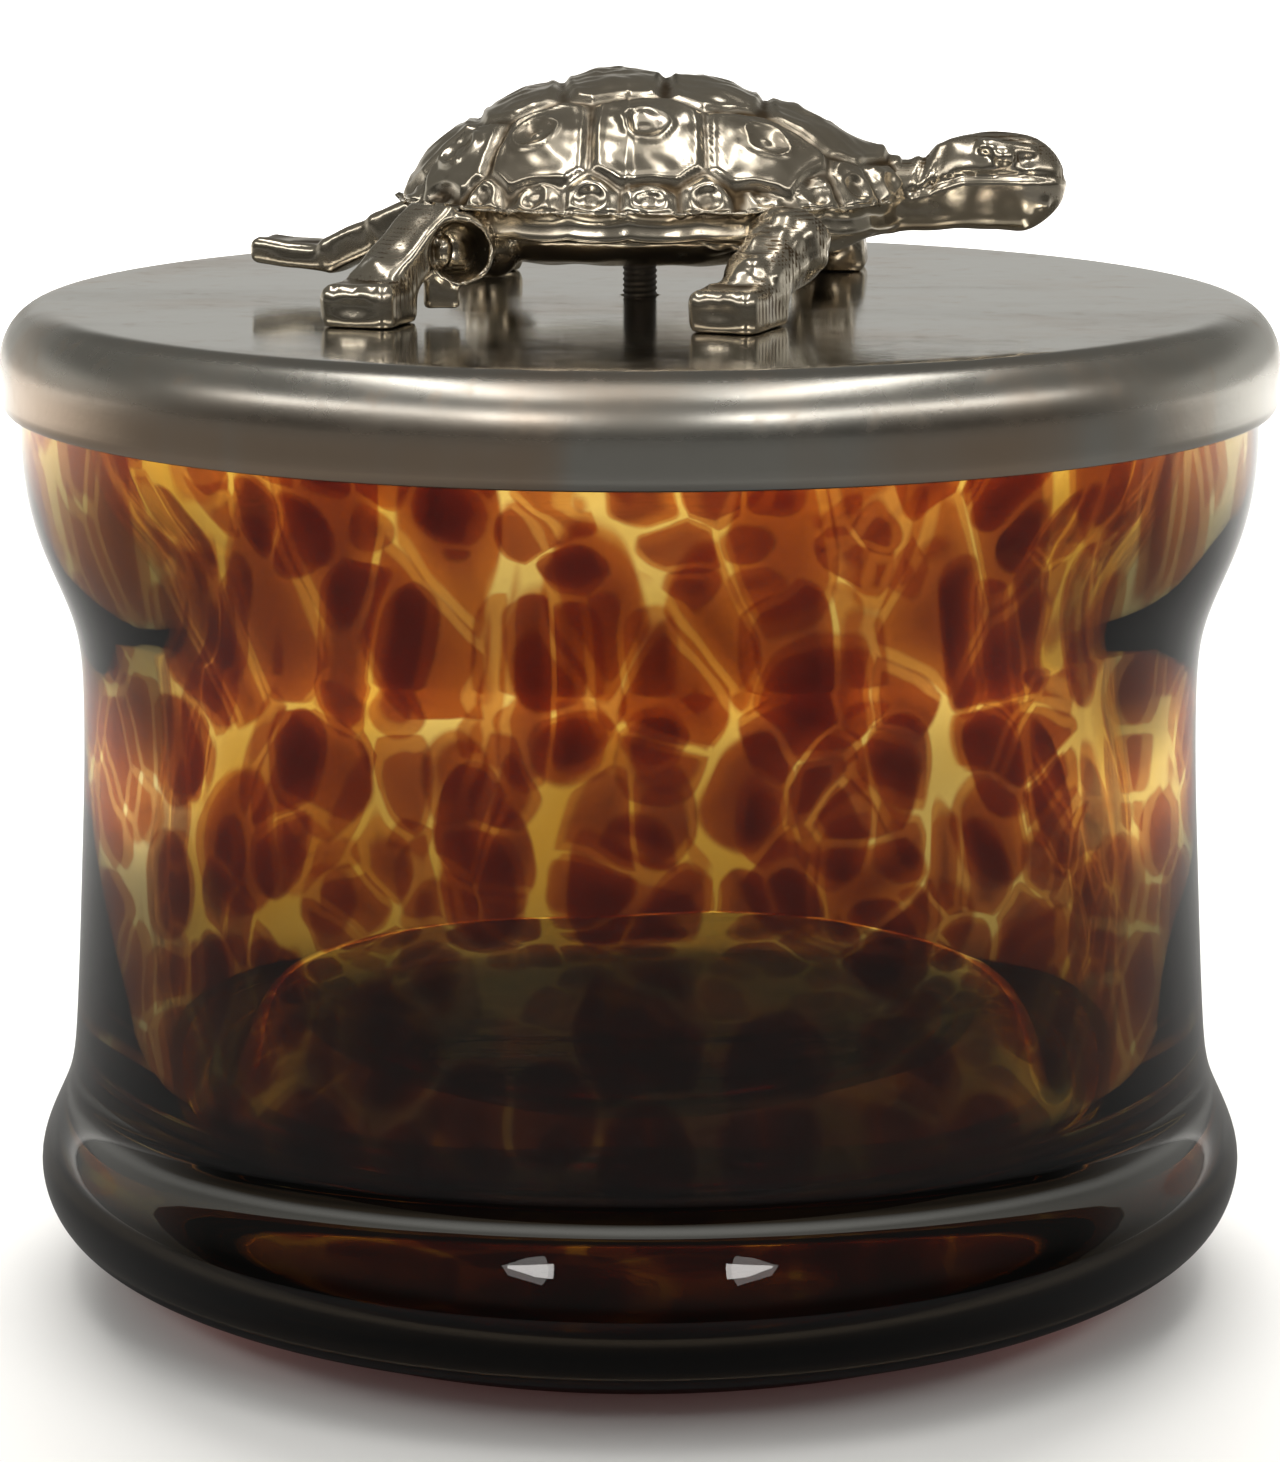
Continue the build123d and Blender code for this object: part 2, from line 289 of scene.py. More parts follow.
def cell_colour(tree):
    """Rounded brown cells in amber, as one colour for the light that passes through."""
    place = add(tree, "SeparateXYZ", Vector=coordinates(tree))
    z = place.outputs["Z"]
    low = maths(tree, "MULTIPLY", maths(tree, "MINIMUM", z, NECK_STARTS), WALL_STRETCH)
    above = maths(tree, "MAXIMUM", maths(tree, "SUBTRACT", z, NECK_STARTS), 0.0)
    neck = maths(tree, "MULTIPLY", above, NECK_STRETCH)
    height = maths(tree, "ADD", low, neck)
    point = add(tree, "CombineXYZ", X=place.outputs["X"], Y=place.outputs["Y"], Z=height)
    drift = add(tree, "TexNoise", Vector=point, Scale=90.0, Detail=2.0)
    half = (0.5, 0.5, 0.5)
    away = add(tree, "VectorMath", {"operation": "SUBTRACT"}, i0=drift.outputs["Color"], i1=half)
    push = add(tree, "VectorMath", {"operation": "SCALE"}, Vector=away, Scale=0.0045)
    where = add(tree, "VectorMath", {"operation": "ADD"}, i0=point, i1=push)
    nearest = add(tree, "TexVoronoi", {"feature": "F1"}, Vector=where, Scale=CELL)
    edge = add(tree, "TexVoronoi", {"feature": "DISTANCE_TO_EDGE"}, Vector=where, Scale=CELL)
    lot = add(tree, "SeparateColor", Color=nearest.outputs["Color"])
    reach = ramp(tree, lot.outputs[0], 0.0, 1.0, 0.52, 0.76, smooth=False)
    inside = maths(tree, "SUBTRACT", reach, nearest.outputs["Distance"])
    rounded = ramp(tree, inside, 0.0, 0.07)
    off_edge = ramp(tree, edge.outputs["Distance"], 0.018, 0.055)
    cell = maths(tree, "MULTIPLY", rounded, off_edge)
    depth = ramp(tree, edge.outputs["Distance"], 0.05, 0.32)
    haze = add(tree, "TexNoise", Vector=point, Scale=45.0, Detail=3.0)
    amber = blend_colour(tree, ramp(tree, haze, 0.35, 0.65), PALE_AMBER, DEEP_AMBER)
    light = blend_colour(tree, lot.outputs[1], *CELL_RIMS)
    dark = blend_colour(tree, lot.outputs[2], *CELL_MIDDLES)
    brown = blend_colour(tree, depth, light, dark)
    return blend_colour(tree, cell, amber, brown)


def root_of(tree, colour):
    """Each layer's colour is crossed at two faces, so each face takes its square root."""
    return add(tree, "Gamma", Color=colour, Gamma=0.5)


def coloured_inside():
    """The inside of the jar: the glass ends there, and bends the light that its colour filters."""
    material, tree = new_material("tortoiseshell_glass_inside")
    colour = cell_colour(tree)
    half = root_of(tree, colour)
    glass = add(tree, "BsdfPrincipled", Base_Color=colour, Roughness=0.0, IOR=GLASS_IOR,
                Transmission_Weight=1.0)
    output(tree, let_lamps_through(tree, glass, half))
    return material


def coloured_face():
    """Where the coloured glass meets the clear glass: light takes half the colour, and doesn't bend."""
    material, tree = new_material("tortoiseshell_glass_seam")
    clear = add(tree, "BsdfTransparent", Color=root_of(tree, cell_colour(tree)))
    output(tree, clear)
    return material


# ---- the jar
OUTER_WALL = [(37.4, 0), (47.0, 3.5), (51.8, 6.2), (53.3, 10.5), (50.9, 17.3), (49.95, 23.0),
              (49.2, 36.0), (48.65, 52.0), (49.2, 58.3), (52.05, 66.0), (53.4, 75.0)]
INNER_FLOOR = [(0, 28.6), (22.0, 27.2), (34.5, 22.6), (40.6, 16.8)]     # pushed up into a dome
INNER_WALL = [(42.9, 20.0), (42.9, 40.0), (43.2, 60.6), (45.65, 66.0), (47.45, 71.5), (47.8, 77.3)]


def in_metres(points, grown=0.0):
    return [((r * MM) + grown, z * MM) for r, z in points]


def inside_run(offset):
    """From the axis over the domed floor, through the gutter round it, and up the wall to the neck."""
    wall = smooth_curve(in_metres(INNER_WALL, offset), (0, 1), (0, 1), 10)
    dome = [(r, z - offset) for r, z in in_metres(INNER_FLOOR)]
    return joined(smooth_curve(dome + [tuple(wall[0])], (1, 0), (0, 1), 14), wall)


def unevenness(a, r, z):
    """Hand-blown glass is never quite round inside."""
    slow = math.sin(3 * a + 70 * z) + 0.7 * math.sin(5 * a - 120 * z + 1.3)
    slow += 0.5 * math.sin(11 * a + 210 * z)
    return 0.07 * MM * slow * min(1, r / (20 * MM))


def jar_casing():
    outside = smooth_curve(in_metres(OUTER_WALL), (1, 0.2), (0, 1), 10)
    shoulder = arc((NECK_R - RIM_SHOULDER, RIM_Z - RIM_SHOULDER), RIM_SHOULDER, 0, 90, 12)
    rim = straight(shoulder[-1], (MOUTH_R + COLOUR_THICKNESS, RIM_Z), 3)
    seam = inside_run(COLOUR_THICKNESS)[::-1]
    seam_top = straight(rim[-1], seam[0], 6)
    ring = straight((FOOT_RING_INNER_R, 0), (FOOT_RING_OUTER_R, 0), 6)
    kick = [np.array((FOOT_RING_INNER_R * t, KICK_UP * (1 - t * t))) for t in np.linspace(0, 1, 16)]
    skin = joined(kick, ring, outside, straight(outside[-1], shoulder[0], 5), shoulder, rim)
    fused = joined(seam_top, seam)
    outline = joined(skin, fused)
    slots = [0] * (len(skin) - 1) + [1] * (len(outline) - len(skin)) + [0]
    piece = spun("jar_casing_glass", outline, slots, closed=False)
    piece.data.materials.append(clear_glass())
    piece.data.materials.append(open_face("fused_face_clear_and_painted_shade"))
    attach(piece, "jar")
    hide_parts("jar_casing")


def tortoiseshell_layer():
    gap = 0.03 * MM             # keeps the two fused faces from lying in each other
    outer = inside_run(COLOUR_THICKNESS - gap)
    inner = inside_run(0.0)[::-1]
    rim_round = arc((MOUTH_R + RIM_INNER_ROUND, RIM_Z - RIM_INNER_ROUND), RIM_INNER_ROUND, 90, 180, 6)
    top = straight((MOUTH_R + COLOUR_THICKNESS - gap, RIM_Z), rim_round[0], 3)
    up = straight(outer[-1], top[0], 6)
    back_side = joined(outer, up)
    front_side = joined(top, rim_round, straight(rim_round[-1], inner[0], 5), inner)
    outline = joined(back_side, front_side)
    slots = [1] * (len(back_side) - 1) + [0] * (len(outline) - len(back_side))
    piece = spun("tortoiseshell_lining_glass", outline, slots, closed=False, wave=unevenness)
    piece.data.materials.append(coloured_inside())
    piece.data.materials.append(coloured_face())
    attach(piece, "jar")
    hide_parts("tortoiseshell_layer")


# ---- metal
EDGE_DULLNESS = 0.18            # the lid's rounded edge is rubbed dull
EDGE_STARTS, EDGE_ENDS = (79.5 * MM, 82.5 * MM), (86.2 * MM, 85.2 * MM)     # heights, fading
SKIRT_FADE = (79.5 * MM, 84.5 * MM)


def stretched_noise(tree, place, stretch, scale, detail, turn=0.0):
    along = add(tree, "Mapping", Vector=place, Rotation=(0, 0, turn), Scale=stretch)
    return add(tree, "TexNoise", Vector=along, Scale=scale, Detail=detail)


def silver(name, colour, tarnish, roughness, scratch=0.3, recess_shade=None, worn=None):
    """Silver plate: cloudy tarnish, fine pits and wiping marks over a polished surface.

    The recess colour is painted shade: it darkens a cast piece's recesses, in patches, by how deep they
    lie.
    `worn` is for the lid: the heights between which its streaked, tarnished skirt changes to the wiped,
    rounded edge and top.
    """
    material, tree = new_material(name)
    place = coordinates(tree)
    cloud = add(tree, "TexNoise", Vector=place, Scale=55.0, Detail=6.0, Roughness=0.6)
    spots = add(tree, "TexNoise", Vector=place, Scale=420.0, Detail=4.0)
    pits = add(tree, "TexVoronoi", Vector=place, Scale=900.0)
    wipe = add(tree, "TexNoise", Vector=place, Scale=1400.0, Detail=3.0)
    stained = ramp(tree, cloud, 0.42, 0.72)
    base = blend_colour(tree, maths(tree, "MULTIPLY", stained, 0.55), colour, tarnish)
    spotted = maths(tree, "MULTIPLY", ramp(tree, spots, 0.58, 0.75), 0.35)
    surface = blend_colour(tree, spotted, base, tarnish)
    rough = ramp(tree, cloud, 0.3, 0.75, roughness, roughness * 1.9)
    rough = maths(tree, "ADD", rough, ramp(tree, spots, 0.5, 0.8, 0.0, 0.06))
    if worn:
        height = at_height(tree, place)
        streaks = stretched_noise(tree, place, (1.0, 1.0, 0.12), 60.0, 3.0)
        dull = blend_colour(tree, ramp(tree, streaks, 0.40, 0.62), tarnish, colour)
        surface = blend_colour(tree, ramp(tree, height, *worn), dull, surface)
        smear = stretched_noise(tree, place, (0.25, 1.0, 1.0), 70.0, 4.0, turn=0.5)
        rough = maths(tree, "ADD", rough, ramp(tree, smear, 0.45, 0.70, 0.0, 0.07))
        above_skirt, below_top = ramp(tree, height, *EDGE_STARTS), ramp(tree, height, *EDGE_ENDS)
        on_edge = maths(tree, "MULTIPLY", above_skirt, below_top)
        rough = maths(tree, "ADD", rough, maths(tree, "MULTIPLY", on_edge, EDGE_DULLNESS))
    # painted shade in the recesses, in patches, also made rougher
    if recess_shade:
        recess = add(tree, "Attribute", {"attribute_name": "recess"}).outputs["Fac"]
        patchy = maths(tree, "MULTIPLY", recess, ramp(tree, spots, 0.25, 0.6, 0.55, 1.0))
        surface = blend_colour(tree, ramp(tree, patchy, 0.12, 0.80), surface, recess_shade)
        rough = maths(tree, "ADD", rough, ramp(tree, patchy, 0.1, 0.8, 0.0, 0.22))
    pit = add(tree, "Bump", {"invert": True}, Strength=0.10 * scratch, Distance=0.0002,
              Height=ramp(tree, pits, 0.0, 0.16, 1.0, 0.0))
    marks = add(tree, "Bump", Strength=0.05 * scratch, Distance=0.0002, Height=wipe,
                Normal=pit)
    waves = add(tree, "Bump", Strength=0.05, Distance=0.001, Height=cloud,
                Normal=marks)
    metal = add(tree, "BsdfPrincipled", Base_Color=surface, Metallic=1.0, Roughness=rough,
                Normal=waves)
    output(tree, metal)
    return material


def ellipse_edge(inset):
    centre = (LID_R - LID_EDGE_RUN, LID_TOP - LID_EDGE_DROP)
    a, b = LID_EDGE_RUN - inset, LID_EDGE_DROP - inset
    turns = np.radians(np.linspace(90, 0, 18))
    return [np.array((centre[0] + a * math.cos(t), centre[1] + b * math.sin(t))) for t in turns]


def lid_cap():
    outer_edge, inner_edge = ellipse_edge(0.0), ellipse_edge(LID_SHEET)
    lip_z = LID_SKIRT + LIP_HEIGHT
    hole_lip = STUD_HOLE_R + 0.2 * MM
    inside_r = LID_R - LID_SHEET
    lip_outside = smooth_curve([(LID_R, lip_z), (LID_R - LIP_TUCK, LID_SKIRT)], (0, -1), (-0.8, -1), 6)
    lip_inside = smooth_curve([(inside_r - LIP_TUCK, LID_SKIRT), (inside_r, lip_z)], (0.8, 1), (0, 1), 6)
    top = joined(straight((STUD_HOLE_R, LID_TOP), (hole_lip, LID_TOP), 2),
                 straight((hole_lip, LID_TOP), outer_edge[0], 30), outer_edge,
                 straight(outer_edge[-1], (LID_R, lip_z), 6), lip_outside)
    under = joined(lip_inside, straight((inside_r, lip_z), inner_edge[-1], 6), inner_edge[::-1],
                   straight(inner_edge[0], (STUD_HOLE_R, LID_TOP - LID_SHEET), 20))
    outline = joined(top, under)[::-1]
    piece = spun("lid_cap_plated", outline, closed=True)
    piece.data.materials.append(silver("lid_silver_plate", (0.56, 0.54, 0.49), (0.56, 0.43, 0.32), 0.075,
                                       worn=SKIRT_FADE))
    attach(piece, "lid")
    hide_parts("lid_cap")


# ---- the tortoise's shell
SHELL_MIDDLE = -1.0             # all tortoise sizes in millimetres, brought to metres at the end
SHELL_FRONT, SHELL_REAR, SHELL_HALF_WIDTH = 23.7, 19.3, 16.5
BAND_LOW, BAND_TOP, SHELL_TOP = 92.1, 94.7, 105.4
VERTEBRALS = [(14.6, 0), (6.9, 0), (-2.4, 0), (-10.9, 0), (-16.9, 0)]
COSTALS = [(10.6, 11.0), (0.4, 12.2), (-8.8, 11.4), (-15.4, 7.4)]
MARGINALS_ROUND = 24
TOP_SCUTES = len(VERTEBRALS)                        # scutes are numbered: top, flanks, then edge
BIG_SCUTES = TOP_SCUTES + 2 * len(COSTALS)
VERTEBRAL_WEIGHT, COSTAL_WEIGHT = 4.9, 3.2
VERTEBRAL_RING, COSTAL_RING, MARGINAL_RING = 1.75, 1.95, 1.25
MARGINAL_Z = 95.9
FRONT_FLANK_X = 17.0                                # the edge scutes are larger round here


def dome_height(x, y):
    """Height of the smooth shell over the plan, fuller behind than in front."""
    front = x > SHELL_MIDDLE
    half_length = np.where(front, SHELL_FRONT, SHELL_REAR)
    fullness = np.where(front, 0.50, 0.62)
    out = np.clip(((x - SHELL_MIDDLE) / half_length) ** 2 + (y / SHELL_HALF_WIDTH) ** 2, 0, 1)
    hump = 2.3 * np.exp(-((x - 22.7) / 2.8) ** 2 - (y / 4.5) ** 2)
    rise = fullness * np.sqrt(1 - out) + (1 - fullness) * (1 - out)
    return BAND_TOP + hump + (SHELL_TOP - BAND_TOP) * rise


def rim_point(angle):
    half_length = np.where(np.cos(angle) > 0, SHELL_FRONT, SHELL_REAR)
    return SHELL_MIDDLE + half_length * np.cos(angle), SHELL_HALF_WIDTH * np.sin(angle)


def scute_seeds():
    """Middle, weight and ring radius of every scute: along the top, on each flank, round the edge."""
    seeds = [(x, y, VERTEBRAL_WEIGHT, VERTEBRAL_RING) for x, y in VERTEBRALS]
    seeds += [(x, side * y, COSTAL_WEIGHT, COSTAL_RING) for x, y in COSTALS for side in (1, -1)]
    fine = np.linspace(0, 2 * math.pi, 2001)
    rim_x, rim_y = rim_point(fine)
    run = np.concatenate([[0], np.cumsum(np.hypot(np.diff(rim_x), np.diff(rim_y)))])
    for k in range(MARGINALS_ROUND):
        a = np.interp(run[-1] * k / MARGINALS_ROUND, run, fine)
        px, py = rim_point(a)
        wide = math.exp(-((px - FRONT_FLANK_X) / 2.2) ** 2)
        x, y = float(px) * 0.985 + SHELL_MIDDLE * 0.015, float(py) * 0.985
        seeds.append((x, y, 0.5 * wide, MARGINAL_RING + 0.5 * wide))
    spots = np.array(seeds)
    heights = dome_height(spots[:, 0], spots[:, 1])
    heights[BIG_SCUTES:] = MARGINAL_Z
    heights[BIG_SCUTES:] += 0.9 * np.exp(-((spots[BIG_SCUTES:, 0] - FRONT_FLANK_X) / 2.2) ** 2)
    return np.column_stack([spots[:, 0], spots[:, 1], heights]), spots[:, 2], spots[:, 3]


def waviness(p, size, seed):
    """Smooth random field over points, about -1 to 1, made of a few plane waves."""
    rng = np.random.default_rng(seed)
    total = np.zeros(len(p))
    for _ in range(12):
        way = rng.normal(size=3)
        way /= np.linalg.norm(way)
        total += np.sin(p @ way * (2 * math.pi / size) * rng.uniform(0.6, 1.5) + rng.uniform(0, 6.3))
    return total / 3.5


def grid_normals(grid):
    """Normals of a closed-round grid of points, shaped (rings, around, 3)."""
    along = np.gradient(grid, axis=0)
    round_ = np.roll(grid, -1, axis=1) - np.roll(grid, 1, axis=1)
    n = np.cross(round_, along)
    return n / np.maximum(np.linalg.norm(n, axis=2, keepdims=True), 1e-9)


def carapace_relief(p):
    """How far the cast shell stands out of the smooth one: grooves, raised edges, rings and pits."""
    middles, weights, ring_r = scute_seeds()
    reach = np.linalg.norm(p[:, None, :] - middles[None], axis=2) - weights[None]
    order = np.argsort(reach, axis=1)[:, :2]
    rows = np.arange(len(p))
    first, second = reach[rows, order[:, 0]], reach[rows, order[:, 1]]
    edge = (second - first) / 2
    own = order[:, 0]
    motif = middles.copy()
    flanks = slice(TOP_SCUTES, BIG_SCUTES)
    motif[flanks, 1] *= 0.90
    motif[flanks, 2] = dome_height(motif[flanks, 0], motif[flanks, 1])
    from_middle = np.linalg.norm(p - motif[own], axis=1)
    ring = ring_r[own] * (1 + 0.10 * waviness(p, 3.0, 5))
    big = np.where(own < TOP_SCUTES, 0.35, np.where(own < BIG_SCUTES, 1.0, 0.85))
    relief = 0.30 * (1 - np.exp(-(edge / 0.45) ** 2)) - 0.62
    relief += np.where(own < BIG_SCUTES, 0.50, 0.25) * (1 - np.exp(-(edge / 2.4) ** 1.5))
    relief += 0.15 * np.exp(-((edge - 0.75) / 0.28) ** 2)
    relief += 0.28 * big * np.exp(-((from_middle - ring) / 0.36) ** 2)
    relief -= 0.50 * big * np.exp(-(from_middle / (0.62 * ring)) ** 2)
    relief += 0.28 * big * np.exp(-(from_middle / 0.42) ** 2)
    return relief + (0.10 * waviness(p, 5.5, 3) + 0.035 * waviness(p, 2.0, 4))


# the upright edge band: height over its lower edge, and how far it stands out of the rim
EDGE_BAND = [(0, -0.9), (0, -0.45), (0.12, -0.15), (0.35, -0.02), (0.7, -0.16), (1.2, -0.30),
             (1.7, -0.32), (2.1, -0.20), (2.3, 0.02), (2.4, 0.22), (2.52, 0.32)]
SHELL_THICKNESS = 1.4


def tortoise_carapace():
    """Rings from the lower edge over the outside to the top, then the hollow inside, back to the edge."""
    around, dome_rings = 352, 92
    angles = np.linspace(0, 2 * math.pi, around, endpoint=False)
    cos, sin = np.cos(angles), np.sin(angles)
    rim_x, rim_y = rim_point(angles)
    rings = []
    scallop = np.abs(np.sin(angles * MARGINALS_ROUND / 2)) ** 0.6
    for up, out in EDGE_BAND:
        z = BAND_LOW + up
        flare = (0.25 if z > BAND_LOW + 2.0 else 0.0) * scallop
        drop = (0.30 * scallop if z < BAND_LOW + 0.5 else 0.22 * scallop)
        rings.append(np.column_stack([rim_x + out * cos + flare * cos, rim_y + out * sin + flare * sin,
                                      z - drop + 0.28]))
    for k in range(dome_rings):
        t = k / (dome_rings - 1)
        out = math.cos(t * math.pi / 2)
        x = SHELL_MIDDLE + (rim_x - SHELL_MIDDLE) * out
        y = rim_y * out
        bulge = 0.34 * math.exp(-((t - 0.02) / 0.06) ** 2)
        z = dome_height(x, y) + 0.02 * k / dome_rings
        rings.append(np.column_stack([x + bulge * cos, y + bulge * sin, z]))
    grid = np.array(rings)
    normals = grid_normals(grid)
    relief = carapace_relief(grid.reshape(-1, 3))
    fade = np.ones(len(rings))
    fade[:len(EDGE_BAND)] = np.linspace(0.0, 0.35, len(EDGE_BAND))
    relief = relief.reshape(len(rings), around) * fade[:, None]
    relief[-6:] = relief[-6:].mean(axis=1, keepdims=True) * 0.5 + relief[-6:] * 0.5
    moved = grid + normals * relief[..., None]
    moved[-1] = moved[-1].mean(axis=0)
    inner = []
    for t in np.linspace(0, 1, 16):
        out = math.cos(t * math.pi / 2) * 0.92
        x = SHELL_MIDDLE + (rim_x - SHELL_MIDDLE) * out
        y = rim_y * out
        z = dome_height(x, y) - SHELL_THICKNESS if t else np.full(around, BAND_LOW)
        inner.append(np.column_stack([x, y, z]))
    inner = np.array(inner)
    inner[-1] = inner[-1].mean(axis=0)
    outline = [moved[-1 - k] for k in range(len(rings))] + list(inner)
    # how deep each point lies in a groove or pit, for the painted shade in the recesses; the hollow
    # inside takes painted shade throughout
    recess = np.clip((-0.25 - relief) / 0.55, 0, 1)[::-1]
    hidden = np.full((len(inner) - 1) * around + 1, 0.6)
    recess = np.concatenate([recess[0, :1], recess[1:].ravel(), hidden])
    return (*stacked(outline, around), recess)


def stacked(rings, around):
    """Vertices and faces of a closed body of rings, whose first and last rings are single points."""
    vertices = [rings[0][0]]
    starts = []
    for ring in rings[1:-1]:
        starts.append(len(vertices))
        vertices.extend(ring)
    last = len(vertices)
    vertices.append(rings[-1][0])
    faces = []
    for k in range(around):
        n = (k + 1) % around
        faces.append((0, starts[0] + k, starts[0] + n))
        faces.append((last, starts[-1] + n, starts[-1] + k))
    for a, b in zip(starts, starts[1:]):
        for k in range(around):
            n = (k + 1) % around
            faces.append((a + k, b + k, b + n, a + n))
    return vertices, faces


# ---- the tortoise's body, as a distance field
VOXEL = 0.29


class Clay:
    """A block of space that shapes are added to and carved from, and then meshed."""

    def __init__(self, low, high):
        self.low = np.array(low, float)
        self.counts = np.ceil((np.array(high) - self.low) / VOXEL).astype(int) + 1
        self.field = np.full(self.counts, 9.0, np.float32)

    def window(self, low, high):
        a = np.clip(np.floor((np.array(low) - self.low) / VOXEL).astype(int), 0, self.counts - 1)
        b = np.clip(np.ceil((np.array(high) - self.low) / VOXEL).astype(int) + 1, 1, self.counts)
        axes = [self.low[i] + VOXEL * np.arange(a[i], b[i], dtype=np.float32) for i in range(3)]
        return tuple(slice(p, q) for p, q in zip(a, b)), np.meshgrid(*axes, indexing="ij", sparse=True)

    def add(self, shape, low, high, soft=0.6):
        """Smooth union with a shape given as a function of x, y, z, which lies between low and high."""
        margin = 2.0 + soft
        where, (x, y, z) = self.window(np.array(low) - margin, np.array(high) + margin)
        new = shape(x, y, z)
        old = self.field[where]
        share = np.clip(0.5 + 0.5 * (old - new) / soft, 0, 1)
        self.field[where] = old * (1 - share) + new * share - soft * share * (1 - share)

    def carve(self, shape, low, high, soft=0.25):
        margin = 1.0 + soft
        where, (x, y, z) = self.window(np.array(low) - margin, np.array(high) + margin)
        new = -shape(x, y, z)
        old = self.field[where]
        share = np.clip(0.5 - 0.5 * (old - new) / soft, 0, 1)
        self.field[where] = old * (1 - share) + new * share + soft * share * (1 - share)

    def press(self, depth, low, high):
        """Sinks the surface by depth(x, y, z) inside a window; a negative depth raises it."""
        where, (x, y, z) = self.window(low, high)
        self.field[where] += depth(x, y, z)

    def settle(self):
        """Fills the places where the surface would touch itself along an edge."""
        f = self.field
        for _ in range(12):
            touching = 0
            for one, two in ((0, 1), (1, 2), (0, 2)):
                def corner(m, n):
                    cut = [slice(None)] * 3
                    cut[one] = slice(m, f.shape[one] - 1 + m)
                    cut[two] = slice(n, f.shape[two] - 1 + n)
                    return f[tuple(cut)]
                corners = [corner(m, n) for m, n in ((0, 0), (1, 1), (0, 1), (1, 0))]
                a, b, c, d = [q < 0 for q in corners]
                crossed = (a == b) & (c == d) & (a != c)
                touching += int(crossed.sum())
                for q in corners:
                    q[crossed] = np.minimum(q[crossed], -0.02)
            if not touching:
                break

    def mesh(self):
        """Surface nets: one vertex in each cell that the surface crosses."""
        self.settle()
        f = self.field
        inside = f < 0
        corner = [inside[i:f.shape[0] - 1 + i, j:f.shape[1] - 1 + j, k:f.shape[2] - 1 + k]
                  for i in (0, 1) for j in (0, 1) for k in (0, 1)]
        count = sum(c.astype(np.int8) for c in corner)
        cells = np.argwhere((count > 0) & (count < 8))
        index = np.full(count.shape, -1, np.int64)
        index[tuple(cells.T)] = np.arange(len(cells))
        total, hits = np.zeros((len(cells), 3)), np.zeros(len(cells))
        for axis in range(3):
            step = np.zeros(3, int)
            step[axis] = 1
            others = [a for a in range(3) if a != axis]
            for m in (0, 1):
                for n in (0, 1):
                    base = cells.copy()
                    base[:, others[0]] += m
                    base[:, others[1]] += n
                    a, b = f[tuple(base.T)], f[tuple((base + step).T)]
                    cut = (a < 0) != (b < 0)
                    t = a[cut] / (a[cut] - b[cut])
                    total[cut] += base[cut] + step * t[:, None]
                    hits[cut] += 1
        vertices = self.low + VOXEL * total / hits[:, None]
        # how far each surface point lies in a hollow, from the blurred field, for the painted shade in
        # the recesses
        hollow = f.clip(-2, 2)
        for axis in range(3):
            for _ in range(3):
                hollow = (np.roll(hollow, 1, axis) + hollow + np.roll(hollow, -1, axis)) / 3
        recess = np.clip(-hollow[tuple(cells.T)] / 0.22, 0, 1)
        faces = []
        for axis in range(3):
            one, two = [(1, 2), (2, 0), (0, 1)][axis]
            step = np.zeros(3, int)
            step[axis] = 1
            here = [slice(1, n - 1) for n in f.shape]
            beyond = list(here)
            here[axis], beyond[axis] = slice(0, f.shape[axis] - 1), slice(1, f.shape[axis])
            a, b = inside[tuple(here)], inside[tuple(beyond)]
            for crossing, flip in (((a & ~b), False), ((~a & b), True)):
                at = np.argwhere(crossing)
                at[:, [i for i in range(3) if i != axis]] += 1
                corners = []
                for m, n in ((0, 0), (1, 0), (1, 1), (0, 1)):
                    cell = at.copy()
                    cell[:, one] -= m
                    cell[:, two] -= n
                    corners.append(index[tuple(cell.T)])
                quad = np.column_stack(corners)
                faces.extend((quad[:, ::-1] if flip else quad).tolist())
        return vertices, faces, recess


def ellipsoid(centre, radii):
    def shape(x, y, z):
        q = [(v - c) / r for v, c, r in zip((x, y, z), centre, radii)]
        size = np.sqrt(q[0] ** 2 + q[1] ** 2 + q[2] ** 2)
        slope = np.sqrt((q[0] / radii[0]) ** 2 + (q[1] / radii[1]) ** 2 + (q[2] / radii[2]) ** 2)
        return size * (size - 1) / np.maximum(slope, 1e-4)
    return shape


def bar(start, end, start_r, end_r):
    """Round bar whose radius changes along it."""
    a, b = np.array(start, float), np.array(end, float)
    along = b - a
    length2 = float(along @ along)

    def shape(x, y, z):
        run = (x - a[0]) * along[0] + (y - a[1]) * along[1] + (z - a[2]) * along[2]
        t = np.clip(run / length2, 0, 1)
        off = [v - a[i] - t * along[i] for i, v in enumerate((x, y, z))]
        gap = np.sqrt(off[0] ** 2 + off[1] ** 2 + off[2] ** 2)
        return gap - (start_r + (end_r - start_r) * t)
    return shape


def block(centre, half, way, rounding):
    """Rounded block. `way` is the direction of its length; its width lies level."""
    way = np.array(way, float) / np.linalg.norm(way)
    side = np.cross((0, 0, 1.0), way)
    side /= np.linalg.norm(side)
    up = np.cross(way, side)

    def shape(x, y, z):
        parts = []
        for axis, size in ((way, half[0]), (side, half[1]), (up, half[2])):
            along = (x - centre[0]) * axis[0] + (y - centre[1]) * axis[1] + (z - centre[2]) * axis[2]
            parts.append(np.abs(along) - (size - rounding))
        outside = np.sqrt(sum(np.maximum(q, 0) ** 2 for q in parts))
        return outside + np.minimum(np.maximum.reduce(np.broadcast_arrays(*parts)), 0) - rounding
    return shape


def reach_of(points, radius):
    p = np.array(points, float)
    return p.min(0) - radius, p.max(0) + radius


def add_bar(clay, start, end, start_r, end_r, soft=0.6):
    low, high = reach_of([start, end], max(start_r, end_r))
    clay.add(bar(start, end, start_r, end_r), low, high, soft)


def add_block(clay, centre, half, way, rounding=0.5, soft=0.5):
    low, high = reach_of([centre], max(half) * 1.5)
    clay.add(block(centre, half, way, rounding), low, high, soft)


def add_ellipsoid(clay, centre, radii, soft=0.8):
    clay.add(ellipsoid(centre, radii), np.array(centre) - radii, np.array(centre) + radii, soft)


LID_PLANE = 86.1
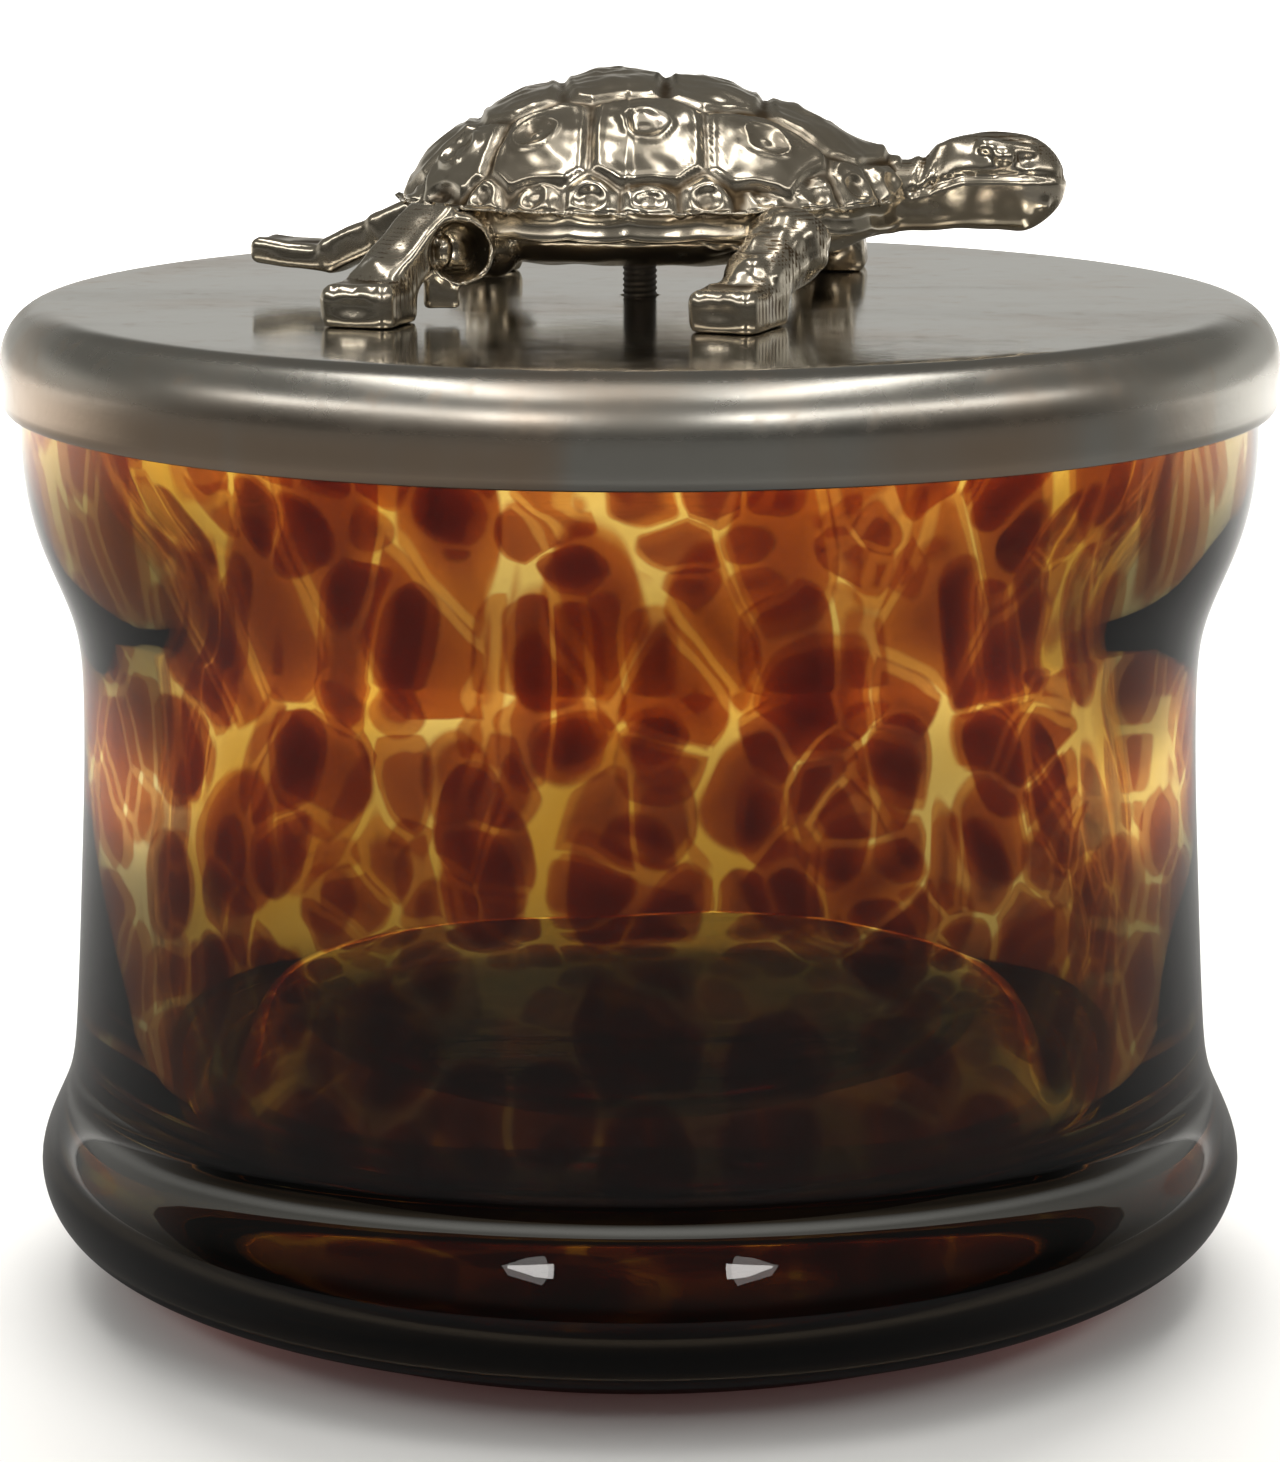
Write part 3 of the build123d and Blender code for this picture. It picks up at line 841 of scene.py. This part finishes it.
# hip, knee, ankle, middle of the foot, way it points, half sizes of the foot
LEGS = {
    "near_front": ((12.6, -10.5, 91.4), (12.1, -16.4, 91.8), (9.2, -22.4, 89.3),
                   (8.0, -24.6), (-0.40, -0.92), (4.2, 2.9)),
    "far_front": ((13.5, 10.5, 91.3), (16.0, 16.8, 91.5), (17.0, 20.6, 89.0),
                  (17.2, 22.0), (0.10, 1.0), (3.3, 3.2)),
    "near_rear": ((-12.5, -10.5, 91.3), (-17.6, -15.6, 92.2), (-21.0, -19.8, 89.4),
                  (-22.1, -21.4), (-0.35, -1.0), (3.4, 3.1)),
    "far_rear": ((-11.5, 10.5, 91.3), (-13.4, 16.4, 91.6), (-14.2, 20.6, 89.0),
                 (-14.4, 22.0), (-0.15, 1.0), (3.2, 3.3)),
}
# start, end, half width and half thickness of each length of the tail
TAIL = [((-18.2, 0.4, 93.3), (-22.6, 1.9, 91.4), 2.5, 1.7),
        ((-21.0, 1.5, 92.0), (-26.9, 4.0, 89.1), 2.3, 1.55),
        ((-25.8, 3.7, 88.95), (-33.4, 6.9, 89.45), 2.2, 1.2)]
BELLY_LOW, BELLY_TOP = 89.35, 92.9
MOUTH_Z = 95.2


def scales(x, y, z, size, seed):
    """Rounded bumps of a given size, close together: 1 at a bump's middle, 0 between bumps."""
    cell = [np.floor(v / size).astype(np.int64) for v in (x, y, z)]
    best = np.full(np.broadcast_shapes(x.shape, y.shape, z.shape), 9.0, np.float32)
    for i in (-1, 0, 1):
        for j in (-1, 0, 1):
            for k in (-1, 0, 1):
                cx, cy, cz = cell[0] + i, cell[1] + j, cell[2] + k
                mixed = (cx * 73856093 ^ cy * 19349663 ^ cz * 83492791 ^ seed * 2654435761) & 0xFFFFFF
                jitter = [((mixed >> shift) & 0xFF) / 255.0 for shift in (0, 8, 16)]
                off = [(c + 0.15 + 0.7 * q) * size - v
                       for c, q, v in zip((cx, cy, cz), jitter, (x, y, z))]
                gap = np.sqrt(off[0] ** 2 + off[1] ** 2 + off[2] ** 2)
                best = np.minimum(best, gap.astype(np.float32) / size)
    return np.clip(1 - best / 0.72, 0, 1)


def belly(x, y, z):
    half_length = np.where(x > SHELL_MIDDLE, SHELL_FRONT - 1.6, SHELL_REAR - 1.6)
    out = np.sqrt(((x - SHELL_MIDDLE) / half_length) ** 2 + (y / (SHELL_HALF_WIDTH - 1.5)) ** 2)
    low = BELLY_LOW + 2.6 * np.clip(out, 0, 1) ** 5
    sides = (out - 1) * 15.0
    return np.maximum(np.maximum(low - z, z - BELLY_TOP), sides) * 0.9


def add_legs(clay):
    for name, (hip, knee, ankle, middle, way, foot) in LEGS.items():
        front = "front" in name
        add_bar(clay, hip, knee, 2.6, 3.1 if front else 2.2, 1.0)
        add_bar(clay, knee, ankle, 3.0 if front else 1.9, 2.6 if front else 2.1, 1.0)
        half = (foot[0] + 0.15, foot[1] + 0.15, 1.95)
        add_block(clay, (middle[0], middle[1], LID_PLANE + 1.6), half, (*way, 0), 1.25, 1.0)


def add_near_hind_leg(clay):
    """A flat-topped ramp down to the foot, and a round socket that is open to the side."""
    add_block(clay, (-19.2, -17.6, 91.5), (4.9, 2.5, 1.5), (-0.52, -0.62, -0.58), 0.5, 0.6)
    socket = np.array((-15.1, -15.6, 91.6))
    facing = np.array((0.16, -0.985, 0.05))
    add_bar(clay, socket + facing * -3.0, socket + facing * 0.5, 3.1, 3.0, 0.5)
    add_block(clay, (-16.4, -16.6, 88.9), (1.5, 0.9, 2.0), (1, 0.1, 0), 0.4, 0.5)
    bore = bar(socket + facing * -1.2, socket + facing * 4.5, 2.15, 2.85)
    clay.carve(bore, socket - 7, socket + 7, 0.3)
    add_ellipsoid(clay, socket + facing * 0.2 + np.array((-1.25, 0, -0.1)), (0.9, 1.4, 1.5), 0.4)


def add_head(clay):
    """Neck, flat throat, head and blunt muzzle, with brows, eyes, jaw corners and nostrils."""
    add_bar(clay, (15.5, 0, 94.8), (25.5, 0, 95.3), 2.7, 2.5, 1.0)
    add_block(clay, (26.0, 0, 94.1), (7.9, 2.7, 2.2), (1, 0, 0.012), 1.5, 1.0)
    add_ellipsoid(clay, (29.8, 0, 96.6), (5.4, 3.5, 3.65), 1.6)
    add_ellipsoid(clay, (33.1, 0, 95.75), (3.55, 3.0, 3.55), 1.6)
    for side in (1, -1):
        inner, outer = side * 4 - 2, side * 4 + 2
        add_bar(clay, (29.6, side * 2.5, 99.0), (33.4, side * 2.2, 98.6), 0.75, 0.55, 0.5)
        add_ellipsoid(clay, (31.1, side * 3.15, 98.2), (0.95, 0.6, 0.75), 0.25)
        behind_eye = ellipsoid((29.2, side * 3.75, 98.4), (0.9, 0.8, 0.55))
        clay.carve(behind_eye, (27, inner, 97), (31, outer, 100), 0.4)
        before_eye = ellipsoid((32.9, side * 3.5, 97.9), (0.7, 0.7, 0.5))
        clay.carve(before_eye, (31, inner, 96), (35, outer, 100), 0.5)
        add_ellipsoid(clay, (34.4, side * 2.5, 94.3), (0.6, 0.4, 0.6), 0.4)
        nostril = ellipsoid((36.6, side * 0.9, 97.2), (0.45, 0.3, 0.3))
        clay.carve(nostril, (35, -3, 96), (38, 3, 98.5), 0.2)


def mouth(x, y, z):
    """A groove that runs level along the head and drops into the folds of the neck, over a lip."""
    line = MOUTH_Z + 1.45 * np.clip((x - 23.4) / 4.0, 0, 1) - 0.25 * np.clip((x - 33.0) / 3.0, 0, 1)
    at_head = np.clip((x - 22.6) / 0.8, 0, 1)
    groove = 0.32 * np.exp(-((z - line) / 0.28) ** 2)
    lip = -0.14 * np.exp(-((z - line + 0.62) / 0.34) ** 2)
    return (groove + lip) * at_head * (1 - 0.6 * np.clip((x - 33.5) / 2, 0, 1))


def folds(x, y, z):
    strength = np.exp(-((x - 24.6) / 1.4) ** 2) * np.clip((z - 94.8) / 0.8, 0, 1)
    return 0.20 * np.sin((x - 0.45 * z) * 4.4) * strength


def add_tail(clay):
    for start, end, width, thick in TAIL:
        a, b = np.array(start), np.array(end)
        half = (np.linalg.norm(b - a) / 2, width, thick)
        add_block(clay, (a + b) / 2, half, b - a, 0.80, 0.8)


def foreleg_scales(x, y, z):
    return -0.55 * scales(x, y, z, 2.5, 7) * np.clip((z - 89.3) / 1.0, 0, 1)


def toes_of(middle, way, foot):
    """Grooves between a foot's toes, and a dent in its front, as a depth for Clay.press."""
    w = np.array(way) / np.linalg.norm(way)

    def depth(x, y, z):
        across = -(x - middle[0]) * w[1] + (y - middle[1]) * w[0]
        ahead = (x - middle[0]) * w[0] + (y - middle[1]) * w[1]
        grooves = sum(np.exp(-((across - c) / 0.22) ** 2) for c in (-1.7, 0.0, 1.7))
        at_toes = np.clip((ahead - foot[0] + 1.6) / 0.8, 0, 1) * np.clip((z - 88.4) / 0.6, 0, 1)
        at_front = np.clip((ahead - foot[0] + 1.0), 0, 1)
        dent = 0.35 * np.exp(-(across / 1.5) ** 2 - ((z - 87.9) / 0.8) ** 2) * at_front
        return 0.13 * grooves * at_toes + dent
    return depth


def press_scales_and_toes(clay):
    for name, (_, knee, ankle, middle, way, foot) in LEGS.items():
        if "front" in name:
            clay.press(foreleg_scales, *reach_of([knee, ankle], 3.6))
        clay.press(toes_of(middle, way, foot), *reach_of([(middle[0], middle[1], 88.0)], 5.5))


def ripple_skin(clay):
    """The uneven skin of a casting."""
    ripple = np.random.default_rng(11)
    where, (x, y, z) = clay.window((-37, -31, 86.4), (38, 28, 101))
    skin = np.zeros(clay.field[where].shape, np.float32)
    for _ in range(9):
        way = ripple.normal(size=3)
        way *= 2 * math.pi / (ripple.uniform(3.0, 6.0) * np.linalg.norm(way))
        skin += np.sin(x * way[0] + y * way[1] + z * way[2] + ripple.uniform(0, 6.3)).astype(np.float32)
    clay.field[where] += 0.030 * skin


def flatten_feet(clay):
    where, (x, y, z) = clay.window((-37, -31, 85.4), (38, 28, 88))
    clay.field[where] = np.maximum(clay.field[where], LID_PLANE + 0.02 - z)


def tortoise_body():
    clay = Clay((-36.5, -31.0, 85.4), (38.6, 27.5, 101.6))
    clay.add(belly, (-21, -16, 89), (23, 16, 93), 0.3)
    add_legs(clay)
    add_near_hind_leg(clay)
    add_head(clay)
    clay.press(mouth, (22.6, -5, 93), (38.2, 5, 99))
    clay.press(folds, (21.0, -5, 91), (28.5, 5, 99))
    add_tail(clay)
    press_scales_and_toes(clay)
    ripple_skin(clay)
    flatten_feet(clay)
    return clay.mesh()


def cast_piece(name, node, vertices, faces, recess):
    piece = mesh_piece(name, np.array(vertices) * MM, faces, recess=np.asarray(recess))
    # dark brown painted shade in the recesses of the cast pieces
    piece.data.materials.append(silver("cast_silver_plate", (0.71, 0.64, 0.52), (0.35, 0.28, 0.19), 0.14,
                                       scratch=0.5, recess_shade=(0.13, 0.09, 0.05)))
    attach(piece, "lid")
    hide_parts(node)


# ---- stud, washer and nut
THREAD_PITCH, THREAD_DEPTH = 0.5 * MM, 0.15 * MM
STUD_SIDE_R = 1.45 * MM         # points further out than this are on the stud's side
STUD_CHAMFER = 0.3 * MM


def thread(a, r, z):
    """Radius change of a fine screw thread, on the outside of the stud only."""
    if r < STUD_SIDE_R:
        return 0
    turn = (z / THREAD_PITCH - a / (2 * math.pi)) % 1
    return -2 * THREAD_DEPTH * abs(turn - 0.5)


def fixing_stud():
    low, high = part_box("fixing_stud")
    r = high.x
    rise = [np.array((r, z)) for z in np.arange(low.z + STUD_CHAMFER, high.z, THREAD_PITCH / 5)]
    end = [np.array((0.0, low.z)), np.array((r - STUD_CHAMFER, low.z))]
    outline = joined(end, rise, [np.array((0.0, high.z))])
    piece = spun("fixing_stud_threaded", outline, closed=False, around=48, wave=thread)
    piece.data.materials.append(silver("stud_dark_steel", (0.20, 0.19, 0.18), (0.12, 0.10, 0.08), 0.30))
    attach(piece, "lid")
    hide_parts("fixing_stud")


def brass():
    return silver("fixing_brass_metal", (0.62, 0.46, 0.22), (0.30, 0.20, 0.10), 0.20, scratch=0.8)


def lid_washer():
    low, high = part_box("lid_washer")
    inner_r, r, edge = 1.6 * MM, high.x, 0.12 * MM
    bevel = 0.3 * edge
    outline = [(inner_r, low.z), (r - edge, low.z), (r - bevel, low.z + bevel), (r, low.z + edge),
               (r, high.z - edge), (r - bevel, high.z - bevel), (r - edge, high.z), (inner_r, high.z)]
    piece = spun("lid_washer_turned", outline, around=96)
    piece.data.materials.append(brass())
    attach(piece, "lid")
    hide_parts("lid_washer")


def retaining_nut():
    low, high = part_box("retaining_nut")
    flat = high.y
    bore, corner, slope = 1.5 * MM, high.x, 0.35 * MM

    def hexagon(a, r, z):
        if r < 1.1 * bore:
            return 0
        off_flat = (a - math.pi / 6) % (math.pi / 3) - math.pi / 6
        return min(r, flat / math.cos(off_flat)) - r

    outline = [(bore, low.z), (flat, low.z), (corner, low.z + slope),
               (corner, high.z - slope), (flat, high.z), (bore, high.z)]
    piece = spun("retaining_nut_hexagon", outline, around=96, wave=hexagon)
    piece.data.polygons.foreach_set("use_smooth", [False] * len(piece.data.polygons))
    piece.data.materials.append(brass())
    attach(piece, "lid")
    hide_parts("retaining_nut")


# ---- stage, lights and camera
FLOOR_DROP = 0.02 * MM          # keeps the floor from lying in the foot's face
LAMP_COLOUR = (1, 0.98, 0.95)
ROOM_LOW, ROOM_BACK, ROOM_TOP = (0.045, 0.043, 0.038), (0.50, 0.495, 0.47), (0.13, 0.126, 0.115)


def floor():
    """Plain pale floor. Mirrored in the metal and the glass it is dimmer, like a table in a dim room."""
    material, tree = new_material("pale_floor")
    place = coordinates(tree)
    grain = add(tree, "TexNoise", Vector=place, Scale=12.0, Detail=4.0)
    tone = blend_colour(tree, grain, (0.80, 0.795, 0.78), (0.84, 0.835, 0.82))
    mirrored = add(tree, "LightPath").outputs["Is Glossy Ray"]
    back = add(tree, "SeparateXYZ", Vector=place).outputs["Y"]
    kept = ramp(tree, back, 0.0, 0.5, 0.14, 0.75)
    lost = maths(tree, "MULTIPLY", mirrored, maths(tree, "SUBTRACT", 1.0, kept))
    dimmed = maths(tree, "SUBTRACT", 1.0, lost)
    seen = add(tree, "VectorMath", {"operation": "SCALE"}, Vector=tone, Scale=dimmed)
    plain = add(tree, "BsdfPrincipled", Base_Color=seen, Roughness=0.6, Specular_IOR_Level=0.15)
    output(tree, plain)
    reach = 4.0
    corners = [(-reach, -reach, 0), (reach, -reach, 0), (reach, reach, 0), (-reach, reach, 0)]
    piece = mesh_piece("floor", corners, [(0, 1, 2, 3)])
    piece.location.z = -FLOOR_DROP
    piece.data.materials.append(material)


def softbox(name, place, towards, size, power, mirrored=True):
    data = bpy.data.lights.new(name, "AREA")
    data.shape = "RECTANGLE"
    data.size, data.size_y = size
    data.energy = power
    data.color = LAMP_COLOUR
    lamp = bpy.data.objects.new(name, data)
    lamp.visible_glossy = mirrored
    lamp.visible_transmission = False
    scene.collection.objects.link(lamp)
    lamp.location = place
    lamp.rotation_euler = (Vector(towards) - Vector(place)).to_track_quat("-Z", "Y").to_euler()


def studio():
    """Long windows to the left and right in front, soft light above and behind, a dim room in front."""
    middle = (0, 0, 0.07)
    softbox("overhead", (0.0, -0.10, 0.85), middle, (0.80, 0.38), 0.45)
    for side, name in ((-1, "left"), (1, "right")):
        softbox("overhead_" + name, (side * 0.26, -0.04, 0.85), middle, (0.70, 0.11), 0.95)
        softbox("window_" + name, (side * 0.62, -0.52, 0.58), middle, (1.05, 0.15), 1.15)
        softbox("window_end_" + name, (side * 0.33, -0.86, 0.58), middle, (0.15, 0.11), 0.50)
    softbox("back_glow", (0.0, 1.15, 0.95), (0, 0.40, 0.0), (1.6, 0.5), 30.0, mirrored=False)
    softbox("far_glow", (0.0, 2.8, 1.5), (0, 2.2, 0.0), (3.6, 1.2), 60.0, mirrored=False)
    world = bpy.data.worlds.new("studio")
    scene.world = world
    world.use_nodes = True
    tree = world.node_tree
    tree.nodes.clear()
    path = add(tree, "LightPath")
    ways = add(tree, "SeparateXYZ", Vector=add(tree, "TexCoord").outputs["Generated"])
    room = blend_colour(tree, ramp(tree, ways.outputs["Y"], -0.15, 0.6), ROOM_LOW, ROOM_BACK)
    room = blend_colour(tree, ramp(tree, ways.outputs["Z"], 0.14, 0.36), room, ROOM_TOP)
    lighting = blend_colour(tree, path.outputs["Is Diffuse Ray"], (0.86, 0.86, 0.85), (0.58, 0.58, 0.57))
    seen = blend_colour(tree, path.outputs["Is Glossy Ray"], lighting, room)
    background = add(tree, "Background", Color=seen, Strength=1.0)
    add(tree, "OutputWorld", Surface=background)


CAMERA_BACK, CAMERA_HEIGHT = 0.3867, 0.1294
CAMERA_DOWN = 11.947            # degrees
LENS_OVER_LONG_SIDE = 4479.0 / 1462.0


def camera():
    data = bpy.data.cameras.new("camera")
    data.sensor_width = 36.0
    data.lens = 36.0 * LENS_OVER_LONG_SIDE
    data.clip_start = 0.01
    eye = bpy.data.objects.new("camera", data)
    scene.collection.objects.link(eye)
    eye.location = (0, -CAMERA_BACK, CAMERA_HEIGHT)
    eye.rotation_euler = (math.radians(90 - CAMERA_DOWN), 0, 0)
    scene.camera = eye


camera()
studio()
floor()
jar_casing()
tortoiseshell_layer()
lid_cap()
cast_piece("tortoise_carapace_cast", "tortoise_carapace", *tortoise_carapace())
cast_piece("tortoise_body_cast", "tortoise_body", *tortoise_body())
fixing_stud()
lid_washer()
retaining_nut()

scene.view_settings.view_transform = "Standard"
scene.cycles.use_denoising = True
scene.cycles.max_bounces = 16
scene.cycles.transmission_bounces = 14
scene.cycles.transparent_max_bounces = 24
scene.cycles.caustics_refractive = False
